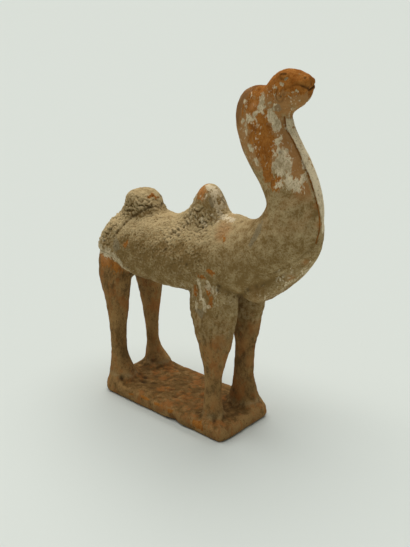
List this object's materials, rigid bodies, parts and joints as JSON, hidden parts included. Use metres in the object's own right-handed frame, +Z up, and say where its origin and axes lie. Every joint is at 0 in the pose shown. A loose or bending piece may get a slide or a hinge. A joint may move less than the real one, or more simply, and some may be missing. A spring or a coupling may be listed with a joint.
{
  "type": "terracotta camel figure",
  "caption": "Standing two-humped camel with a raised head, curled fleece and a throat fringe, fired in one piece with its flat rectangular slab, for display on a shelf or table.",
  "frame": {"origin": "on the slab's flat underside, midway between its long sides and near the middle of its length", "axes": "+Z up, normal to the slab's underside; +X along the slab toward the head; +Y to the animal's left"},
  "size_m": [0.255, 0.077, 0.3289],
  "materials": {
    "terracotta": "matte, unglazed orange clay under worn white slip and greige-brown earth"
  },
  "bodies": {
    "root": {"camel_figure": "terracotta"}
  },
  "joints": []
}
